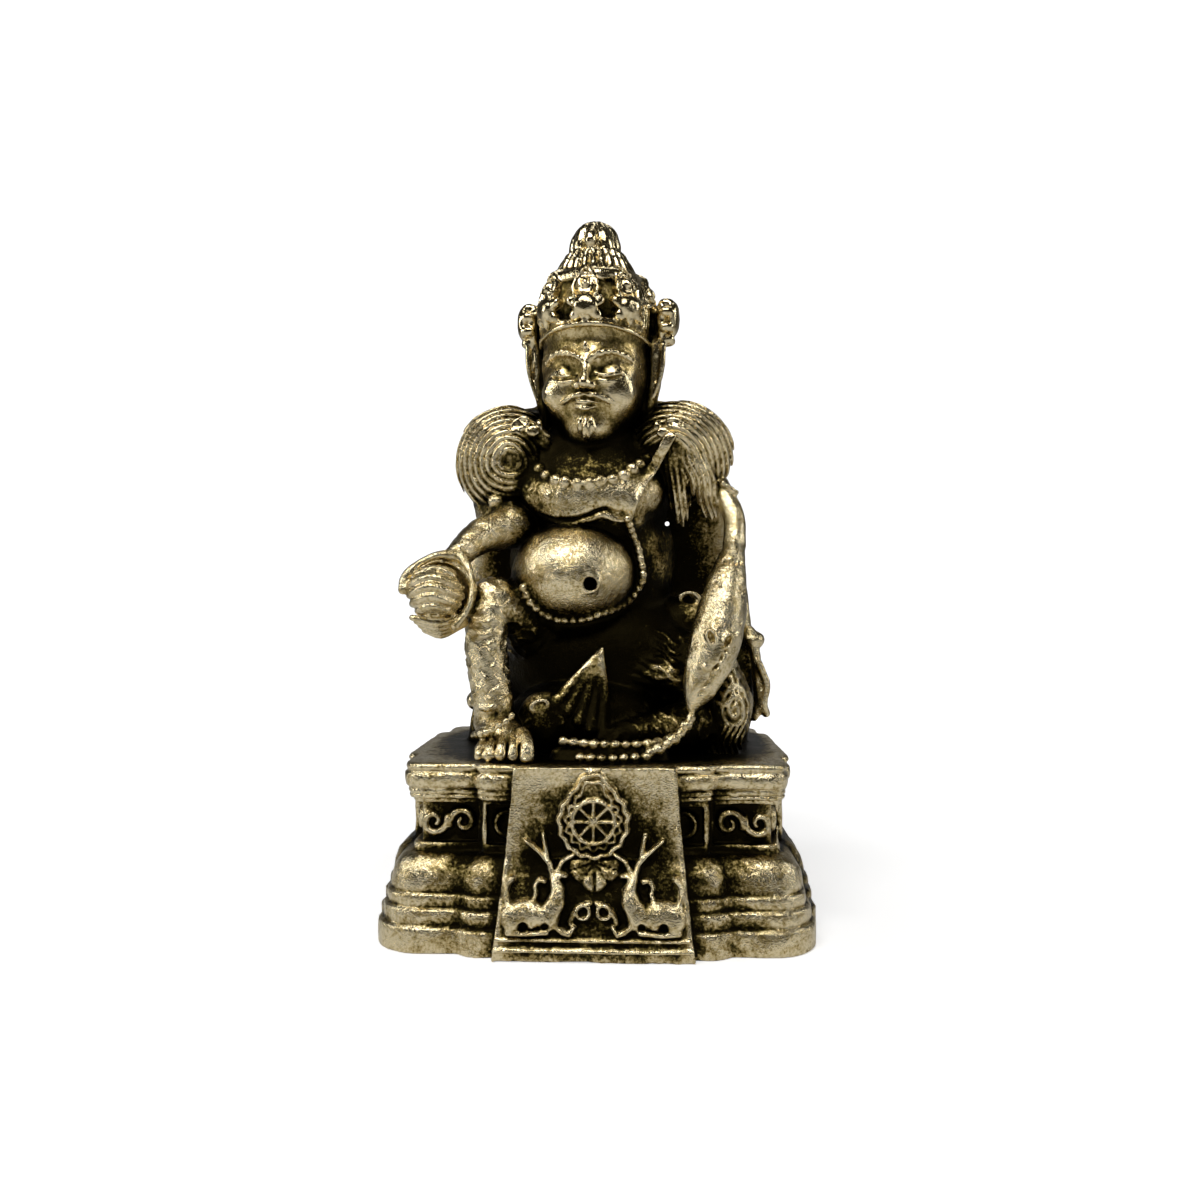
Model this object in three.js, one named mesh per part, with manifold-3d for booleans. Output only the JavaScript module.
// A small brass figure of Jambhala, the seated giver of wealth, cast in one piece with its stepped throne.
// Millimetres, +Z up, the figure facing -Y. The origin is on the floor, under the middle of the throne.
import * as THREE from "three";
import { mergeVertices } from "three/addons/utils/BufferGeometryUtils.js";
import Module from "manifold-3d";

const wasm = await Module();
wasm.setup();

// Driving dimensions.
const SEAT = 11.85; // height of the throne's top
const NECK = { x: 12.15, y: 8.7, low: 6.0, high: 9.55 }; // the throne's recessed neck: half sizes and heights
const PROJECTION = 0.6; // how far the middle of each side stands forward
const MIDDLE = { x: 7.4, y: 5.2 }; // half width of that middle on the front, and on the flanks
const CLOTH = { proud: 0.5, top: 5.25, foot: 6.45 }; // the apron: how far it stands out, and its half widths
const HEAD = { at: [-0.5, -0.9, 22.15], turn: [6, 0, -8] }; // where the chin meets the neck, above the seat
const CROWN_TIP = 15.75; // above that pivot

const SMALL = { across: 5, down: 4 };

const vec = (p) => (p.isVector3 ? p : new THREE.Vector3(...p));
const radians = THREE.MathUtils.degToRad;
const mix = THREE.MathUtils.lerp;

// A closed geometry as a solid, turned the right way out whichever way it was wound or mirrored.
function solid(geometry, matrix = new THREE.Matrix4()) {
  const bare = new THREE.BufferGeometry();
  bare.setAttribute("position", geometry.getAttribute("position").clone());
  if (geometry.index) bare.setIndex(geometry.index);
  bare.applyMatrix4(matrix);
  const merged = mergeVertices(bare, 1e-4);
  const triVerts = new Uint32Array(merged.index.array);
  const mesh = { numProp: 3, vertProperties: merged.attributes.position.array, triVerts };
  const made = new wasm.Manifold(new wasm.Mesh(mesh));
  if (made.volume() >= 0) return made;
  for (let i = 0; i < triVerts.length; i += 3) triVerts.subarray(i, i + 2).reverse();
  return new wasm.Manifold(new wasm.Mesh(mesh));
}

const union = (solids) => wasm.Manifold.union(solids);

const place = (at, turn = [0, 0, 0], size = [1, 1, 1]) =>
  new THREE.Matrix4().compose(
    vec(at),
    new THREE.Quaternion().setFromEuler(new THREE.Euler(...turn.map(radians))),
    vec(size),
  );

// One closed surface over a row of rings of equal size, with a fan over each end.
function skin(rings, matrix) {
  const across = rings[0].length;
  const points = rings.flat().map(vec);
  const faces = [];
  const next = (row, i) => row * across + ((i + 1) % across);
  for (let row = 0; row < rings.length - 1; row++)
    for (let i = 0; i < across; i++) {
      const [a, b] = [row * across + i, next(row, i)];
      faces.push(a, b, b + across, a, b + across, a + across);
    }
  for (const row of [0, rings.length - 1]) {
    const middle = points.length;
    const ring = points.slice(row * across, (row + 1) * across);
    points.push(ring.reduce((sum, p) => sum.add(p), new THREE.Vector3()).divideScalar(across));
    for (let i = 0; i < across; i++) {
      const edge = [row * across + i, next(row, i)];
      faces.push(middle, ...(row === 0 ? edge.reverse() : edge));
    }
  }
  const geometry = new THREE.BufferGeometry().setFromPoints(points);
  geometry.setIndex(faces);
  return solid(geometry, matrix);
}

const circle = (count, radius, start = 0) =>
  Array.from({ length: count }, (_, i) => {
    const angle = start + (2 * Math.PI * i) / count;
    return [radius * Math.cos(angle), radius * Math.sin(angle)];
  });

const ball = (at, radii, { across = 8, down = 5, turn } = {}) =>
  solid(new THREE.SphereGeometry(1, across, down), place(at, turn, radii));

const box = (low, high) =>
  solid(
    new THREE.BoxGeometry(...high.map((v, i) => v - low[i])),
    place(high.map((v, i) => (v + low[i]) / 2)),
  );

// A rounded limb along a smooth curve through the points. Its radii are spread evenly from end to end.
function limb(points, radii, { sides = 6, steps = 5, flat = 1, blunt = false } = {}) {
  const curve = new THREE.CatmullRomCurve3(points.map(vec));
  const outward = new THREE.Vector3(0, -1, 0.001);
  const rings = [];
  for (let i = 0; i <= steps; i++) {
    const t = i / steps;
    const tangent = curve.getTangent(t);
    outward.addScaledVector(tangent, -outward.dot(tangent)).normalize();
    const side = new THREE.Vector3().crossVectors(tangent, outward);
    const along = t * (radii.length - 1);
    const low = Math.min(Math.floor(along), radii.length - 2);
    const radius = mix(radii[low], radii[low + 1], along - low);
    const ring = (shift, scale) =>
      circle(sides, radius * scale, Math.PI / 2).map(([u, v]) =>
        curve
          .getPoint(t)
          .addScaledVector(tangent, shift * radius)
          .addScaledVector(side, u)
          .addScaledVector(outward, v * flat),
      );
    if (blunt && i === 0) rings.push(ring(-0.6, 0.6));
    rings.push(ring(0, 1));
    if (blunt && i === steps) rings.push(ring(0.6, 0.6));
  }
  return skin(rings);
}

// Beads evenly spaced along a smooth curve.
function beads(points, radius, count) {
  const curve = new THREE.CatmullRomCurve3(points.map(vec));
  const bead = new THREE.OctahedronGeometry(radius, 0);
  return curve.getSpacedPoints(count - 1).map((p) => solid(bead, place(p)));
}

// A flat outline in X and Z, made solid between two depths.
function plate(outline, front, back, holes = []) {
  const flat = (points) => points.map(([x, z]) => new THREE.Vector2(x, z));
  const shape = new THREE.Shape(flat(outline));
  shape.holes = holes.map((hole) => new THREE.Path(flat(hole)));
  const geometry = new THREE.ExtrudeGeometry(shape, { depth: back - front, bevelEnabled: false });
  return solid(geometry, place([0, back, 0], [90, 0, 0]));
}

// The throne. Its plan is a rectangle whose middle stands forward on all four sides. From the floor up it
// has three plain courses, a swelling cushion, the neck with its scroll panels, and a moulded slab.
const COURSES = [
  { out: 2.3, low: 0, high: 1.6 },
  { out: 2.0, low: 1.8, high: 2.7 },
  { out: 1.75, low: 2.9, high: 3.6 },
];
const CUSHION = { out: 1.5, low: 3.8 };
const GROOVE = 0.28;

function throneProfile() {
  const courses = COURSES.flatMap(({ out, low, high }) => [[out, low], [out, high], [out - GROOVE, high + 0.08]]);
  const swell = [0, 1, 2, 3].map((i) => {
    const angle = (Math.PI / 6) * i;
    return [CUSHION.out * Math.cos(angle), mix(CUSHION.low, NECK.low, Math.sin(angle))];
  });
  const slab = [
    [0, NECK.high], [0.3, NECK.high], [0.15, 10.05], [0.5, 10.25], [0.5, 10.9], [0.3, 11.35], [0.45, SEAT],
  ];
  return [...courses, ...swell, ...slab];
}

const profiledBlock = (halfX, halfY) =>
  skin(
    throneProfile().map(([out, z]) => {
      const [x, y] = [halfX + out, halfY + out];
      return [[-x, -y, z], [x, -y, z], [x, y, z], [-x, y, z]];
    }),
  );

const PANEL = { low: 6.6, high: 9.2, sunk: 0.45, margin: 0.4 };

function thronePanels() {
  const { low, high, sunk, margin } = PANEL;
  const quarters = [
    // At the corners of the front and the back, and at the ends of the flanks.
    { x: [MIDDLE.x + margin, NECK.x - margin], y: [NECK.y - sunk, NECK.y + 1] },
    { x: [NECK.x - sunk, NECK.x + 1], y: [MIDDLE.y + margin, NECK.y - margin] },
  ];
  const signs = [[-1, -1], [-1, 1], [1, -1], [1, 1]];
  const cuts = quarters.flatMap(({ x, y }) =>
    signs.map(([sx, sy]) => {
      const [xs, ys] = [x.map((v) => v * sx), y.map((v) => v * sy)];
      return box([Math.min(...xs), Math.min(...ys), low], [Math.max(...xs), Math.max(...ys), high]);
    }),
  );
  const flank = NECK.x + PROJECTION;
  const half = MIDDLE.y - margin;
  for (const [from, to] of [[-flank - 1, sunk - flank], [flank - sunk, flank + 1]])
    cuts.push(box([from, -half, low], [to, half, high]));
  return union(cuts);
}

// An S scroll: two spirals that wind in round their eyes. The panel says where its plane lies.
function scroll(onPanel) {
  const [eye, count, turns] = [0.95, 8, 2.2];
  const half = Array.from({ length: count }, (_, i) => {
    const t = (i + 0.5) / (count - 0.5);
    const angle = Math.PI * (1.1 - turns * t);
    const radius = mix(eye, 0.3, t);
    return [eye + radius * Math.cos(angle), radius * Math.sin(angle)];
  });
  const line = [...half.toReversed().map(([u, v]) => [-u, -v]), ...half];
  return limb(line.map(([u, v]) => onPanel(u, v)), [0.26, 0.3, 0.26], { sides: 3, steps: 13 });
}

function throneScrolls() {
  const middle = (PANEL.low + PANEL.high) / 2;
  const centre = (MIDDLE.x + NECK.x) / 2;
  const front = PANEL.sunk - NECK.y - 0.05;
  return [-1, 1].map((side) => scroll((u, v) => [side * (centre + u), front, middle + v]));
}

// The apron is a cloth that hangs from the slab down over the steps, front and back.
const CLOTH_FALL = [
  { z: 0, out: 2.4 },
  { z: 1.7, out: 2.35 },
  { z: 3.8, out: 1.9 },
  { z: 5.2, out: 1.3 },
  { z: 6.4, out: 0.8 },
  { z: 9.4, out: 0.65 },
  { z: SEAT + 0.1, out: 0.6 },
];

function clothFront(z) {
  const next = Math.max(1, CLOTH_FALL.findIndex((station) => station.z >= z));
  const [a, b] = [CLOTH_FALL[next - 1], CLOTH_FALL[next]];
  const out = mix(a.out, b.out, (z - a.z) / (b.z - a.z));
  return -(NECK.y + PROJECTION + CLOTH.proud + out);
}

const clothHalf = (z) => mix(CLOTH.foot, CLOTH.top, Math.pow(z / SEAT, 0.7));

const apron = (direction) =>
  skin(
    CLOTH_FALL.map(({ z }) => {
      const [half, front, back] = [clothHalf(z), direction * clothFront(z), -direction * 7];
      return [[-half, front, z], [half, front, z], [half, back, z], [-half, back, z]];
    }),
  );

// Relief on the apron, placed by X and Z and raised a little off the cloth.
const onCloth = (x, z, lift = 0) => [x, clothFront(z) - lift, z];

function clothBorder() {
  const line = (z) => [onCloth(0.15 - clothHalf(z), z), onCloth(clothHalf(z) - 0.15, z)];
  return [0.6, 1.25].map((z) => limb(line(z), [0.2, 0.2], { sides: 3, steps: 1 }));
}

const WHEEL = { x: -0.05, z: 8.45, ring: 1.4, halo: 2.15, point: 0.95 };

// The wheel of teaching in a halo that rises to a point, over half a lotus.
function wheelRelief() {
  const { x, z, ring, halo, point } = WHEEL;
  const [front, back] = [clothFront(z) - 0.28, clothFront(z) + 0.6];
  const around = (count, radius) => circle(count, radius, Math.PI / 2).map(([u, v]) => [x + u, z + v]);
  const edge = around(12, halo);
  edge[0][1] += point;
  for (const i of [1, 11]) edge[i][1] += 0.3 * point;
  // Between the spokes the wheel is open: each opening is a wedge from the hub out to the rim.
  const openings = circle(8, ring * 0.58, Math.PI / 8).map(([u, v], i) => {
    const towards = (Math.PI / 4) * (i + 0.5);
    return circle(3, ring * 0.3, towards + Math.PI).map(([a, b]) => [x + u + a, z + v + b]);
  });
  const petals = [-1, 0, 1].map((i) => {
    const angle = radians(48 * i);
    const at = onCloth(x + 1.05 * Math.sin(angle), 5.75 - 1.05 * Math.cos(angle), 0.05);
    return ball(at, [0.4, 0.35, 0.7], { across: 4, down: 4, turn: [12, -48 * i, 0] });
  });
  return [
    plate(edge, front, back, [around(8, halo - 0.45)]),
    plate(around(12, ring), front, back, openings),
    ...petals,
  ];
}

// A deer lying in profile, its chest and raised head towards the wheel. The side is -1 or 1.
function deer(side) {
  const line = (points, radii, sides = 3) =>
    limb(
      points.map(([x, z]) => onCloth(side * x, z, 0.1)),
      radii,
      { sides, steps: points.length - 1 },
    );
  return [
    ball(onCloth(side * 4.1, 3.1, -0.1), [1.4, 0.6, 0.85], { ...SMALL, turn: [15, 0, 0] }),
    ball(onCloth(side * 5.0, 3.0, -0.1), [0.85, 0.65, 0.9], SMALL),
    line([[3.2, 2.6], [2.7, 3.9], [2.9, 5.0]], [0.65, 0.45, 0.25], 4),
    line([[2.95, 4.95], [2.25, 5.3]], [0.32, 0.2], 4),
    line([[2.95, 5.1], [4.6, 6.7]], [0.2, 0.14]),
    line([[2.9, 5.1], [1.6, 5.95]], [0.2, 0.14]),
    line([[5.3, 3.5], [5.7, 4.8]], [0.3, 0.22]),
    line([[5.2, 2.1], [2.7, 2.0]], [0.36, 0.26]),
  ];
}

function throne() {
  const blocks = [
    profiledBlock(NECK.x, NECK.y),
    profiledBlock(MIDDLE.x, NECK.y + PROJECTION),
    profiledBlock(NECK.x + PROJECTION, MIDDLE.y),
  ];
  return union([
    union(blocks).subtract(thronePanels()),
    ...throneScrolls(),
    apron(1),
    apron(-1),
    ...clothBorder(),
    ...wheelRelief(),
    ...deer(-1),
    ...deer(1),
  ]);
}

// The person, seated at ease: heights from here on are above the seat.
const BELLY = { at: [-1.0, -2.7, 12.7], radii: [4.45, 3.9, 3.6] };
const NAVEL = { x: -0.65, z: 11.8, radius: 0.42 };

function torso() {
  const trunk = union([
    ball([-0.6, 0.9, 13.8], [6.2, 4.6, 7.2], { across: 10, down: 7 }),
    ball([-0.4, 0.1, 19.8], [6.7, 3.9, 4.3], { across: 10, down: 6 }),
    ball([-2.9, -1.9, 18.5], [3.5, 2.6, 2.5]),
    ball([2.2, -1.9, 18.7], [3.4, 2.5, 2.4]),
    ball(BELLY.at, BELLY.radii, { across: 12, down: 7 }),
    ball([0.2, 1.2, 6.3], [8.2, 5.4, 5.4], { across: 10, down: 5 }),
  ]);
  const navel = limb([[NAVEL.x, -9, NAVEL.z], [NAVEL.x, -5.6, NAVEL.z]], [NAVEL.radius, NAVEL.radius], { steps: 1 });
  return trunk.subtract(navel);
}

function bodyJewellery() {
  const necklace = [[-5.6, -1.9, 22.1], [-4.5, -3.1, 20.5], [-0.5, -3.9, 19.4], [3.2, -3.3, 20], [4.5, -2.2, 21.8]];
  const sash = [[4.5, -2.2, 22.2], [3.4, -3.4, 19.6], [2.3, -3.9, 16.8], [3.4, -3.0, 15], [3.9, -2.3, 12.0]];
  const belt = [[3.4, -2.5, 11.5], [2.3, -3.4, 10.4], [-0.5, -3.2, 9.2], [-4.0, -2.9, 10.1], [-5.5, -1.5, 11.7]];
  const crease = [[-4.8, -3.4, 17], [-2.7, -4.0, 16.4], [-0.4, -3.6, 17.1], [1.5, -4.0, 16.6]];
  return [
    ...beads(necklace, 0.6, 9),
    limb(sash, [0.4, 0.5, 0.5, 0.5, 0.45], { sides: 4, steps: 7 }),
    ...beads(belt, 0.58, 9),
    limb(crease, [0.36, 0.42, 0.34, 0.38], { sides: 3, steps: 5 }),
  ];
}
// The head, in a frame of its own: the pivot is under the chin, and the face looks along -Y.
function face() {
  const pair = (make) => [make(-1), make(1)];
  const thin = { sides: 3, steps: 2 };
  return [
    ball([0, 0.1, 5.4], [3.9, 4.25, 4.4], { across: 9, down: 6 }),
    ball([0, -0.5, 3.2], [3.4, 3.65, 3.3], { across: 9, down: 5 }),
    ball([0, -2.6, 1.1], [1.5, 1.35, 1.0], SMALL),
    limb([[0, -4.0, 5.4], [0, -4.6, 4.0]], [0.34, 0.62], { sides: 5, steps: 1 }),
    ...pair((s) => limb([[s * 0.4, -4.1, 5.75], [s * 1.5, -3.9, 6.2], [s * 2.8, -3.0, 5.8]], [0.3, 0.36, 0.24], thin)),
    ...pair((s) => ball([s * 1.5, -3.5, 4.95], [0.85, 0.55, 0.42], { ...SMALL, turn: [0, 0, s * 20] })),
    ...pair((s) => limb([[s * 0.1, -4.2, 3.1], [s * 0.9, -4.0, 2.95], [s * 1.6, -3.5, 2.4]], [0.3, 0.3, 0.2], thin)),
    ball([0, -3.8, 2.45], [0.8, 0.5, 0.35], { across: 4, down: 3 }),
    ball([0, -3.5, 1.2], [0.75, 0.6, 0.75], SMALL),
    limb([[0, -0.2, -1.6], [0, -0.2, 2.2]], [2.5, 2.3], { sides: 8, steps: 1 }),
  ];
}

// The crown's cap, the piled hair and the jewel on top, as one fluted shape.
function hairAndCap() {
  const flutes = 8;
  const stations = [
    { radius: 3.9, z: 6.9 },
    { radius: 4.2, z: 8.1 },
    { radius: 4.05, z: 10.8, flute: 0.03 },
    { radius: 3.05, z: 12.35 },
    { radius: 3.0, z: 12.7, flute: 0.05 },
    { radius: 2.3, z: 14.0, flute: 0.07 },
    { radius: 1.8, z: 14.15 },
    { radius: 1.95, z: 14.75, flute: 0.1 },
    { radius: 1.3, z: 15.4, flute: 0.12 },
    { radius: 0.5, z: CROWN_TIP },
  ];
  return skin(
    stations.map(({ radius, z, flute = 0 }) =>
      circle(2 * flutes, radius).map(([x, y], i) => {
        const swell = 1 + (i % 2 ? -flute : flute);
        return [x * swell, y * swell, z];
      }),
    ),
  );
}

// A leaf of the crown stands over its jewel, at an angle round the head.
function crownLeaf(angle) {
  const at = (out, z) => [out * Math.sin(radians(angle)), -out * Math.cos(radians(angle)), z];
  return [
    ball(at(3.9, 10.7), [0.8, 0.6, 1.6], { across: 4, down: 4, turn: [0, 0, angle] }),
    ball(at(4.1, 9.0), [0.9, 0.5, 0.7], { across: 4, down: 3, turn: [0, 0, angle] }),
  ];
}

function crownBand() {
  const arch = [-4, -3, -2, -1, 0, 1, 2, 3, 4].map((i) => {
    const angle = 0.3 * i;
    return [4.1 * Math.sin(angle), -4.15 * Math.cos(angle), 7.05 + 0.95 * Math.cos(0.4 * i)];
  });
  return limb(arch, [0.3, 0.36, 0.3], { sides: 3, steps: 7 });
}

// A flower disc over each ear, with a ribbon that falls behind the cheek to the shoulder.
function ear(side) {
  return [
    ball([side * 4.9, 0.4, 8.6], [1.0, 1.1, 1.5], { across: 6, down: 4 }),
    limb([[side * 4.7, 0.4, 8.0], [side * 4.1, 0.5, 5.0], [side * 3.7, 0.5, 1.8]], [0.75, 0.75, 0.6], { sides: 4, steps: 2 }),
  ];
}

function head() {
  const parts = [...face(), hairAndCap(), crownBand(), ...[-50, 0, 50].flatMap(crownLeaf), ...ear(-1), ...ear(1)];
  return union(parts).transform(place(HEAD.at, HEAD.turn).toArray());
}

// The shawl: a ribbed cap over each shoulder, a roll behind the neck, and a flower brooch on either side.
const RIBS = 5;

function shoulderCap(at, radii) {
  const rows = 2 * RIBS;
  const rings = [];
  for (let row = 1; row < rows; row++) {
    const polar = (Math.PI * row) / rows;
    const out = Math.sin(polar) * (row % 2 ? 1 : 0.9);
    rings.push(circle(10, out).map(([x, z]) => [x * radii[0], -Math.cos(polar) * radii[1], z * radii[2]]));
  }
  return skin(rings, place(at));
}

function shawl() {
  const behindNeck = [[-6.5, 0.6, 23.8], [-3.2, 2.6, 24.8], [0, 3.3, 25], [3.2, 2.6, 24.9], [6.0, 0.6, 24.2]];
  return [
    shoulderCap([-6.95, -0.1, 21.05], [3.9, 4.1, 4.25]),
    shoulderCap([5.9, 0, 21.8], [4.15, 4.0, 3.8]),
    limb(behindNeck, [1.4, 1.7, 1.8, 1.7, 1.4], { steps: 4 }),
    ball([-4.7, -3.3, 23.4], [0.95, 0.7, 0.8], SMALL),
    ball([5.3, -3.4, 23.4], [0.95, 0.7, 0.8], SMALL),
    limb([[4.6, -2.8, 22.8], [5.2, -2.8, 20.4], [5.4, -2.2, 18]], [0.9, 0.8, 0.5], { sides: 4, steps: 2 }),
  ];
}

// The cape hangs from the shoulders to the seat and closes the space behind the arms.
function cape() {
  const stations = [
    { z: 24.3, left: -4.5, right: 5.3, front: 1.5, back: 4.6 },
    { z: 21.8, left: -8.2, right: 8.4, front: 1.5, back: 5.2 },
    { z: 17.8, left: -8.4, right: 10.2, front: 2.0, back: 5.6 },
    { z: 12.8, left: -8.0, right: 11.2, front: 2.2, back: 6.0 },
    { z: 7.8, left: -8.4, right: 11.8, front: 2.0, back: 6.6 },
    { z: 2.8, left: -9.8, right: 11.7, front: 0.5, back: 7.2 },
    { z: -0.3, left: -10.4, right: 11.0, front: 0, back: 7.8 },
  ];
  const folds = 7;
  const rings = stations.map(({ z, left, right, front, back }) => {
    const hem = Array.from({ length: folds }, (_, i) => {
      const share = i / (folds - 1);
      const bow = 1.2 * Math.sin(Math.PI * share) - 1.4;
      return [mix(right, left, share), back + bow + (i % 2 ? 0.25 : -0.15), z];
    });
    return [[left, front, z], [right, front, z], ...hem];
  });
  return skin(rings);
}

// His right arm: the forearm comes forward over the knee, and the open hand holds a ribbed citron.
const CITRON = { at: [-10.7, -7.9, 11.2], radius: 1.75 };

function citron() {
  const [x, y, z] = CITRON.at;
  const rib = (height) => {
    const half = Math.sqrt(CITRON.radius ** 2 - height ** 2);
    const end = (side) => [x + side * half * 0.9, y + 0.2, z + height - 0.35];
    const across = [end(-1), [x, y - half + 0.05, z + height + 0.1], end(1)];
    return limb(across, [0.28, 0.34, 0.28], { sides: 3, steps: 3 });
  };
  return [ball(CITRON.at, [1.75, 1.75, 1.85], { across: 9, down: 6 }), ...[0.6, -0.6].map(rib)];
}

function rightArm() {
  const [x, y, z] = CITRON.at;
  const curl = { sides: 4, steps: 3 };
  const fingertip = (i) => {
    const drop = 0.14 * i;
    const points = [[x + 1.7, y + 0.7, z - 1.5 - drop], [x + 0.1, y - 0.3 + 0.25 * i, z - 1.9 - 1.5 * drop]];
    const tip = [x - 1.4 + 0.25 * i, y - 0.4 + 0.35 * i, z - 1.8 - 1.6 * drop];
    return limb([...points, tip], [0.5, 0.46, 0.4], { sides: 4, steps: 2 });
  };
  return [
    limb([[-7.2, 0.6, 20.3], [-7.4, -0.6, 17.4], [-6.2, -2.6, 16.1]], [2.2, 1.9, 1.6], { steps: 2 }),
    limb([[-6.0, -2.6, 15.9], [-8.0, -4.6, 15], [-9.7, -6.4, 13.6]], [1.75, 1.5, 1.0], { steps: 3 }),
    ...beads([[-8.4, -1.7, 17.5], [-7.6, -2.6, 17.3], [-6.5, -3.1, 17.5]], 0.6, 3),
    ball([x + 0.25, y + 1.1, z + 0.1], [2.2, 1.35, 2.5]),
    ...citron(),
    limb([[-9.4, -6.7, 13.8], [-11.2, -7.6, 13.6], [-12.5, -8.0, 12.4], [-12.8, -8.1, 11.2]], [0.65, 0.5, 0.45, 0.4], curl),
    limb([[-9.2, -6.8, 13.7], [-8.45, -7.7, 12.3], [-8.5, -8.0, 10.4], [-9.3, -8.1, 9.2]], [0.55, 0.45, 0.42, 0.5], curl),
    ...[0, 2].map(fingertip),
  ];
}

// The legs in loose drapery: his right knee is raised, with the foot at the throne's edge, and his left
// leg lies folded on the seat.
function toe(index) {
  const x = -4.55 - 0.8 * index;
  const radius = index === 0 ? 0.5 : 0.4;
  const reach = -9.2 + 0.12 * index;
  const bones = [[x - 0.25, reach + 1.7, 1.25], [x, reach + 0.6, 0.85], [x, reach, 0.45]];
  return limb(bones, [radius * 0.8, radius * 0.8, radius], { sides: 4, steps: 1, blunt: true });
}

function legs() {
  const anklet = [[-7.8, -6.5, 1.6], [-6.8, -7.3, 2.1], [-5.6, -6.7, 3.2]];
  const trouserHem = [[-8.2, -5.6, 3.8], [-6.9, -7.2, 3.7], [-5.6, -5.9, 4.2]];
  return [
    limb([[-3.6, 0.5, 7.3], [-5.8, -3.2, 10.6], [-6.9, -5.0, 11]], [3.6, 2.8, 2.0], { sides: 7, steps: 2 }),
    limb([[-6.9, -5.0, 11.2], [-7.2, -5.6, 8], [-6.8, -5.8, 4.3], [-6.7, -5.8, 2.2]], [2.0, 1.6, 1.5, 1.45], {
      steps: 5,
    }),
    limb([[-6.8, -5.7, 2], [-6.4, -7.2, 1.6], [-6.2, -8.2, 0.9]], [1.35, 1.5, 1.75], { steps: 2, flat: 0.65 }),
    ...[0, 1, 2, 3, 4].map(toe),
    ...beads(anklet, 0.65, 3),
    limb(trouserHem, [0.4, 0.5, 0.4], { sides: 3, steps: 3 }),
    limb([[3.5, 0.5, 6], [7.2, -1.6, 5], [8.8, -2.4, 3.4]], [3.9, 2.9, 2.3], { sides: 8, steps: 2, blunt: true }),
    limb([[8.7, -2.8, 2.2], [5.0, -5.0, 2], [1.0, -6.0, 1.5]], [2.1, 1.7, 1.4], { steps: 3 }),
    ball([-1.0, -3.2, 2.4], [5.6, 3.6, 3.0], { across: 8, down: 4 }),
  ];
}

// The pleated end of the waist cloth that falls between the legs, and the rolled cloth beside it.
function lapCloth() {
  const pleat = (share) => {
    const hem = [mix(-2.7, 0.2, share), -6.6 - 0.5 * share, mix(3.6, 1.1, share)];
    const middle = [mix(-1.4, 0.6, share), -6.0, mix(5.3, 4.2, share)];
    return limb([[1.15, -5.0 - 0.3 * share, 6.9], middle, hem], [0.3, 0.9, 0.85], { sides: 3, steps: 2 });
  };
  const roll = [[-4.9, -6.3, 3.2], [-4.3, -6.9, 3.9], [-3.4, -7.0, 3.4], [-3.5, -7.2, 2.2], [-2.6, -7.6, 1]];
  return [
    ...[0, 0.5, 1].map(pleat),
    limb(roll, [0.5, 0.5, 0.5, 0.45, 0.4], { sides: 4, steps: 5 }),
    ball([3.4, -4.0, 5], [2.7, 2.2, 2.2], SMALL),
  ];
}

function sideCloth() {
  const fold = (points, radius) => limb(points, [radius, radius, radius * 0.8], { sides: 5, steps: 3 });
  const ribbon = [[11.4, 1.4, 8.2], [11.8, 1.0, 5.8], [12.0, 0.8, 3.2], [11.6, 0.8, 2.0]];
  return [
    fold([[9.6, -3.0, 5.5], [10.4, -3.4, 3.4], [10.3, -3.3, 0.2]], 0.65),
    fold([[8.6, -4.0, 5], [9.5, -4.4, 3.4], [9.2, -4.3, 0.3]], 0.65),
    fold([[7.6, -4.6, 3.8], [8.4, -5.0, 2.3], [8.1, -4.9, 0.1]], 0.65),
    limb(ribbon, [0.8, 0.7, 0.75, 0.6], { sides: 5, steps: 3 }),
    ball([11.6, 1.4, 7.7], [0.85, 0.9, 0.75], SMALL),
    ball([-9.4, 0.4, 2.6], [1.0, 1.4, 1.5], SMALL),
  ];
}

// His left arm reaches down and holds a mongoose head down, which spills jewels from its mouth.
function leftArm() {
  const arm = [[8.2, -0.6, 19.4], [9.1, -1.5, 18.1], [9.6, -2.2, 16.2], [9.6, -3.0, 13.8]];
  return [
    limb(arm, [1.0, 0.85, 0.8, 0.85], { steps: 3 }),
  ];
}

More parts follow.
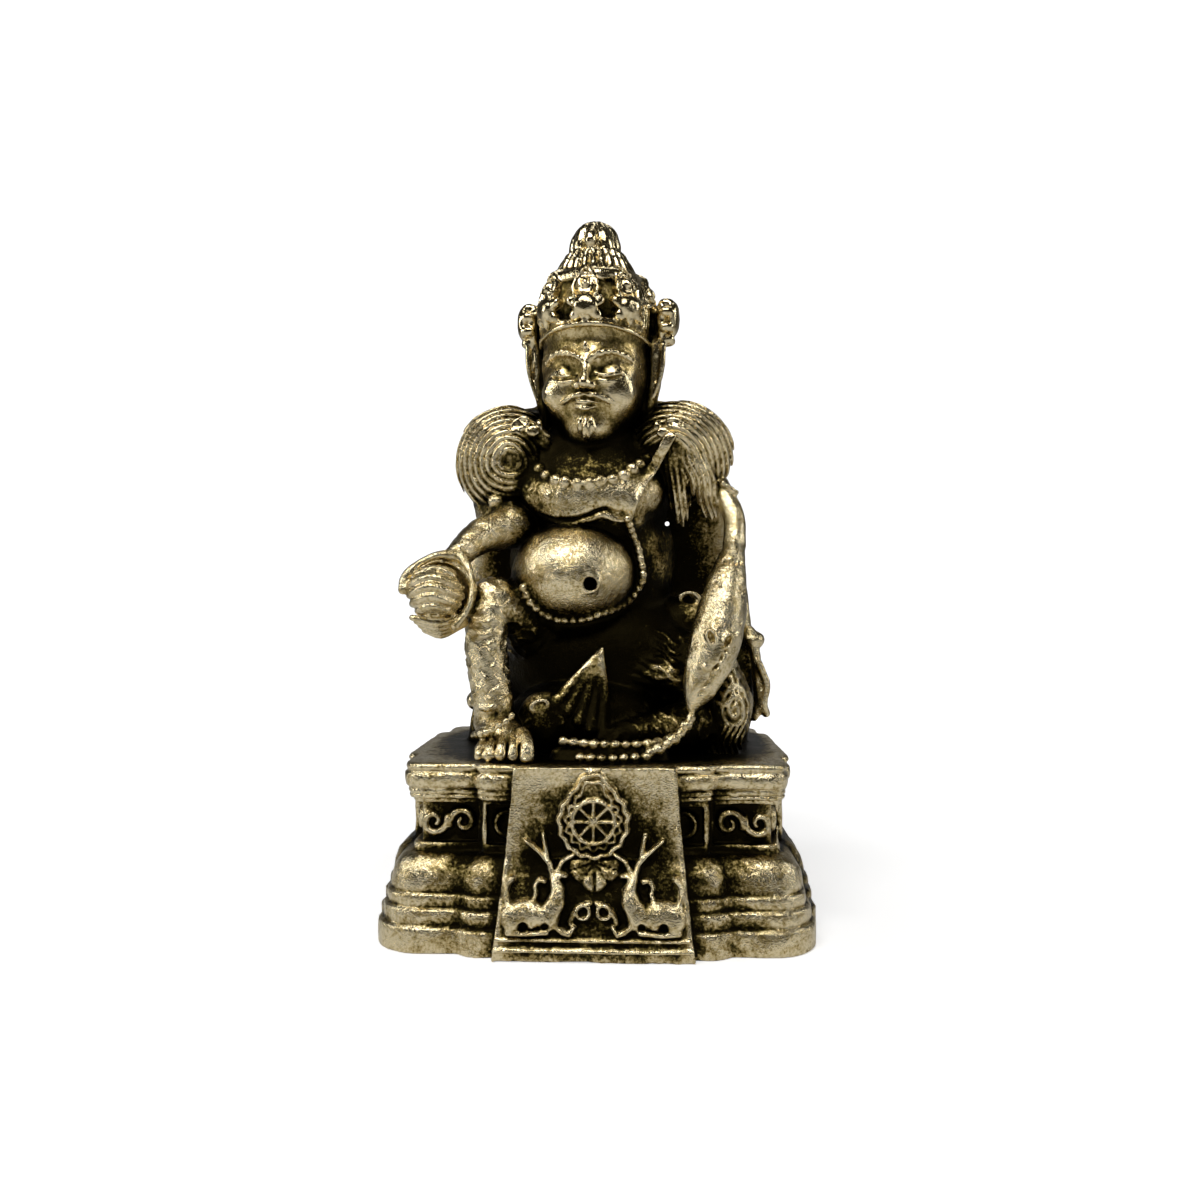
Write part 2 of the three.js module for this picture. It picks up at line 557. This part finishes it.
function mongoose() {
  const spine = [
    [9.5, -3.6, 13.7], [9.1, -4.5, 11.8], [8.5, -5.0, 9.3], [7.9, -5.5, 6.4], [7.0, -6.2, 4.4], [6.35, -6.8, 3.1],
  ];
  return [
    limb(spine, [0.8, 1.55, 1.95, 1.8, 1.1, 0.5], { sides: 8, steps: 7 }),
    ball([8.4, -6.9, 6.2], [0.6, 0.5, 0.6], SMALL),
    limb([[7.6, -6.0, 9.4], [6.7, -6.2, 8], [6.3, -6.4, 6]], [0.4, 0.45, 0.35], { sides: 3, steps: 2 }),
  ];
}

function jewels() {
  const spill = [[6.4, -6.6, 2.7], [5.6, -7.1, 1.8], [4.6, -7.6, 1.1], [3.6, -8.0, 0.7]];
  const upper = [[4.8, -7.7, 1.4], [3.0, -7.9, 1.2], [0.2, -8.0, 1.2], [-2.2, -7.8, 1.3]];
  const lower = [[3.3, -8.5, 0.3], [0.6, -8.8, 0.3], [-1.6, -8.7, 0.4], [-2.4, -8.4, 0.6]];
  return [
    ...beads(spill, 0.75, 5),
    ...beads(upper, 0.55, 6),
    ...beads(lower, 0.55, 5),
    box([-3.1, -8.7, -0.3], [4.9, -4.6, 1.1]),
  ];
}

function person() {
  return union([
    torso(),
    ...bodyJewellery(),
    head(),
    ...shawl(),
    cape(),
    ...rightArm(),
    ...legs(),
    ...lapCloth(),
    ...sideCloth(),
    ...leftArm(),
    ...mongoose(),
    ...jewels(),
  ]).translate([0, 0, SEAT]);
}

const antiqueBrass = new THREE.MeshStandardMaterial({ color: 0x9a8a5e, roughness: 0.38, metalness: 1 });

function meshOf(made) {
  const { numProp, vertProperties, triVerts } = made.getMesh();
  const geometry = new THREE.BufferGeometry();
  const positions = new THREE.InterleavedBufferAttribute(new THREE.InterleavedBuffer(vertProperties, numProp), 3, 0);
  geometry.setAttribute("position", positions);
  geometry.setIndex(new THREE.BufferAttribute(triVerts, 1));
  return new THREE.Mesh(geometry, antiqueBrass);
}

const casting = meshOf(throne().add(person()));
casting.name = "jambhala_figure";

export default new THREE.Group().add(casting);
